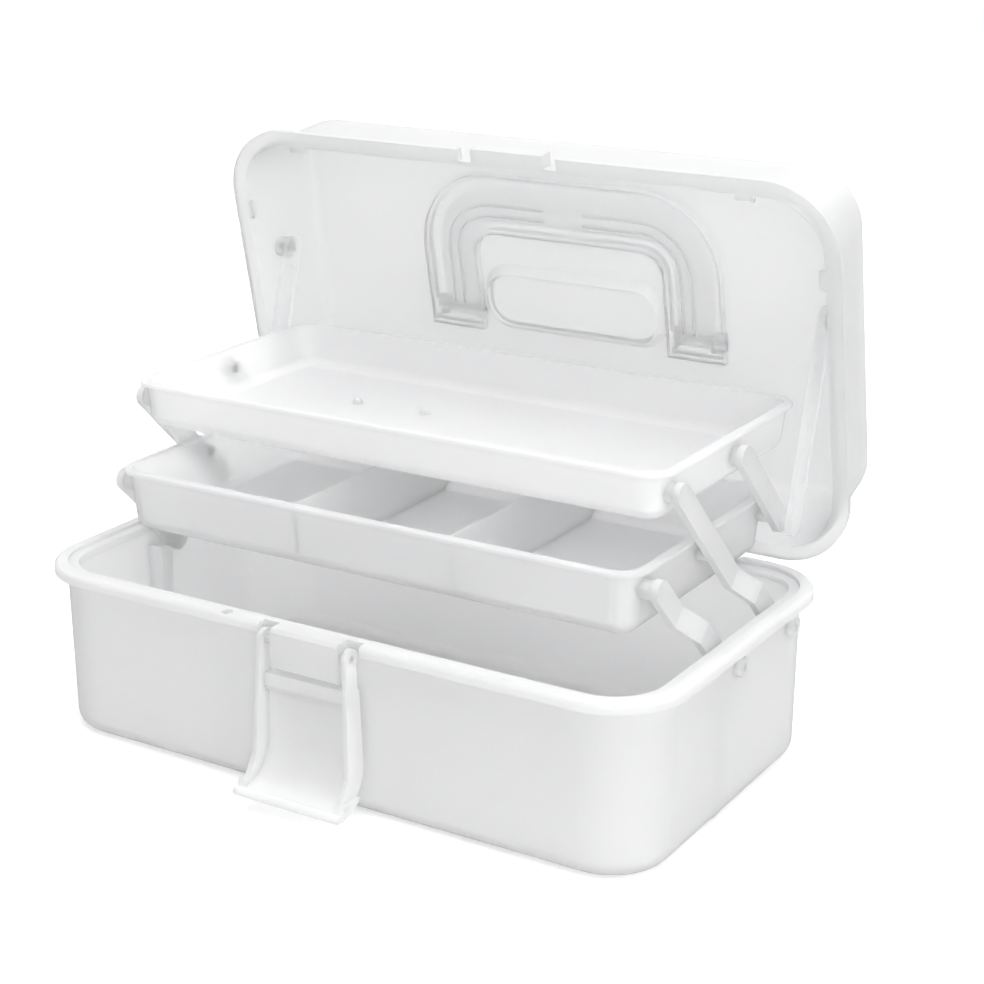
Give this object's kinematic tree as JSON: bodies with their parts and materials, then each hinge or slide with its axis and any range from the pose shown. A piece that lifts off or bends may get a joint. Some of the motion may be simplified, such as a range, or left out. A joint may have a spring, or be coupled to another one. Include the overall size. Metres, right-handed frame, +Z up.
{
  "type": "three-tier storage box",
  "caption": "Open portable storage box: deep tub, stacked trays on cantilever arms, frosted hinged lid with a folding handle, front latch; lid lifts the trays.",
  "frame": {"origin": "centre of the tub's flat bottom face, on the plane it stands on", "axes": "+X along the box to its right end, +Y to the back with the lid's hinge, +Z up; the latch is at the front, -Y; the rest pose is the open pose of the picture"},
  "size_m": [0.332, 0.2674, 0.2683],
  "materials": {
    "white_plastic": "satin moulded",
    "tray_plastic": "satin moulded",
    "arm_plastic": "satin moulded",
    "pin_plastic": "satin moulded",
    "latch_plastic": "satin moulded",
    "handle_plastic": "smooth moulded",
    "frosted_plastic": "frosted translucent"
  },
  "bodies": {
    "base": {"base_tub": "white_plastic", "latch_pin": "pin_plastic", "hinge_pin_r": "pin_plastic", "hinge_pin_l": "pin_plastic", "pin_base_front_r": "pin_plastic", "pin_base_front_l": "pin_plastic", "pin_base_rear_r": "pin_plastic", "pin_base_rear_l": "pin_plastic"},
    "lid": {"lid_shell": "frosted_plastic", "handle_pin_r": "pin_plastic", "handle_pin_l": "pin_plastic", "pin_strap_top_r": "pin_plastic", "pin_strap_top_l": "pin_plastic"},
    "lower_tray": {"lower_tray": "tray_plastic", "pin_lower_front_r": "pin_plastic", "pin_lower_front_l": "pin_plastic", "pin_lower_mid_r": "pin_plastic", "pin_lower_mid_l": "pin_plastic", "pin_lower_rear_r": "pin_plastic", "pin_lower_rear_l": "pin_plastic"},
    "upper_tray": {"upper_tray": "tray_plastic", "pin_upper_front_r": "pin_plastic", "pin_upper_front_l": "pin_plastic", "pin_upper_rear_r": "pin_plastic", "pin_upper_rear_l": "pin_plastic"},
    "latch": {"latch": "latch_plastic"},
    "handle": {"handle": "handle_plastic"},
    "front_arm_r": {"front_arm_r": "arm_plastic"},
    "long_arm_r": {"long_arm_r": "arm_plastic"},
    "rear_arm_r": {"rear_arm_r": "arm_plastic", "pin_strap_low_r": "pin_plastic"},
    "lid_strap_r": {"lid_strap_r": "arm_plastic"},
    "front_arm_l": {"front_arm_l": "arm_plastic"},
    "long_arm_l": {"long_arm_l": "arm_plastic"},
    "rear_arm_l": {"rear_arm_l": "arm_plastic", "pin_strap_low_l": "pin_plastic"},
    "lid_strap_l": {"lid_strap_l": "arm_plastic"}
  },
  "joints": [
    {"name": "lid_hinge", "type": "hinge", "parent": "base", "child": "lid", "pos_m": [0, 0.098, 0.075], "axis": [1, 0, 0], "range_deg": [0, 78.7]},
    {"name": "front_arm_r_swing", "type": "hinge", "parent": "base", "child": "front_arm_r", "pos_m": [0.15, 0.0005, 0.0695], "axis": [1, 0, 0], "range_deg": [0, 20.81]},
    {"name": "long_arm_r_swing", "type": "hinge", "parent": "base", "child": "long_arm_r", "pos_m": [0.15, 0.0542, 0.0695], "axis": [1, 0, 0], "range_deg": [0, 20.81]},
    {"name": "front_arm_l_swing", "type": "hinge", "parent": "base", "child": "front_arm_l", "pos_m": [-0.15, 0.0005, 0.0695], "axis": [1, 0, 0], "range_deg": [0, 20.81]},
    {"name": "long_arm_l_swing", "type": "hinge", "parent": "base", "child": "long_arm_l", "pos_m": [-0.15, 0.0542, 0.0695], "axis": [1, 0, 0], "range_deg": [0, 20.81]},
    {"name": "lower_tray_level", "type": "hinge", "parent": "long_arm_r", "child": "lower_tray", "pos_m": [0, 0.00962, 0.11486], "axis": [1, 0, 0], "range_deg": [-20.81, 0]},
    {"name": "upper_tray_level", "type": "hinge", "parent": "long_arm_r", "child": "upper_tray", "pos_m": [0, -0.02669, 0.15181], "axis": [1, 0, 0], "range_deg": [-20.81, 0]},
    {"name": "rear_arm_r_swing", "type": "hinge", "parent": "lower_tray", "child": "rear_arm_r", "pos_m": [0.144, 0.07062, 0.11486], "axis": [1, 0, 0], "range_deg": [0, 20.81]},
    {"name": "rear_arm_l_swing", "type": "hinge", "parent": "lower_tray", "child": "rear_arm_l", "pos_m": [-0.144, 0.07062, 0.11486], "axis": [1, 0, 0], "range_deg": [0, 20.81]},
    {"name": "lid_strap_r_swing", "type": "hinge", "parent": "lid", "child": "lid_strap_r", "pos_m": [0.149, 0.10151, 0.19981], "axis": [1, 0, 0], "range_deg": [0, 21.17]},
    {"name": "lid_strap_l_swing", "type": "hinge", "parent": "lid", "child": "lid_strap_l", "pos_m": [-0.149, 0.10151, 0.19981], "axis": [1, 0, 0], "range_deg": [0, 21.17]},
    {"name": "latch_swing", "type": "hinge", "parent": "base", "child": "latch", "pos_m": [0, -0.0952, 0.077], "axis": [-1, 0, 0], "range_deg": [0, 178]},
    {"name": "handle_swing", "type": "hinge", "parent": "lid", "child": "handle", "pos_m": [0, 0.14067, 0.17174], "axis": [-1, 0, 0], "range_deg": [0, 100]}
  ],
  "couplings": [
    {"joint": "front_arm_r_swing", "follows": "lid_hinge", "ratio": 0.2643},
    {"joint": "long_arm_r_swing", "follows": "lid_hinge", "ratio": 0.2643},
    {"joint": "front_arm_l_swing", "follows": "lid_hinge", "ratio": 0.2643},
    {"joint": "long_arm_l_swing", "follows": "lid_hinge", "ratio": 0.2643},
    {"joint": "lower_tray_level", "follows": "lid_hinge", "ratio": -0.2643},
    {"joint": "upper_tray_level", "follows": "lid_hinge", "ratio": -0.2643},
    {"joint": "rear_arm_r_swing", "follows": "lid_hinge", "ratio": 0.2643},
    {"joint": "rear_arm_l_swing", "follows": "lid_hinge", "ratio": 0.2643},
    {"joint": "lid_strap_r_swing", "follows": "lid_hinge", "ratio": 0.2689},
    {"joint": "lid_strap_l_swing", "follows": "lid_hinge", "ratio": 0.2689}
  ]
}
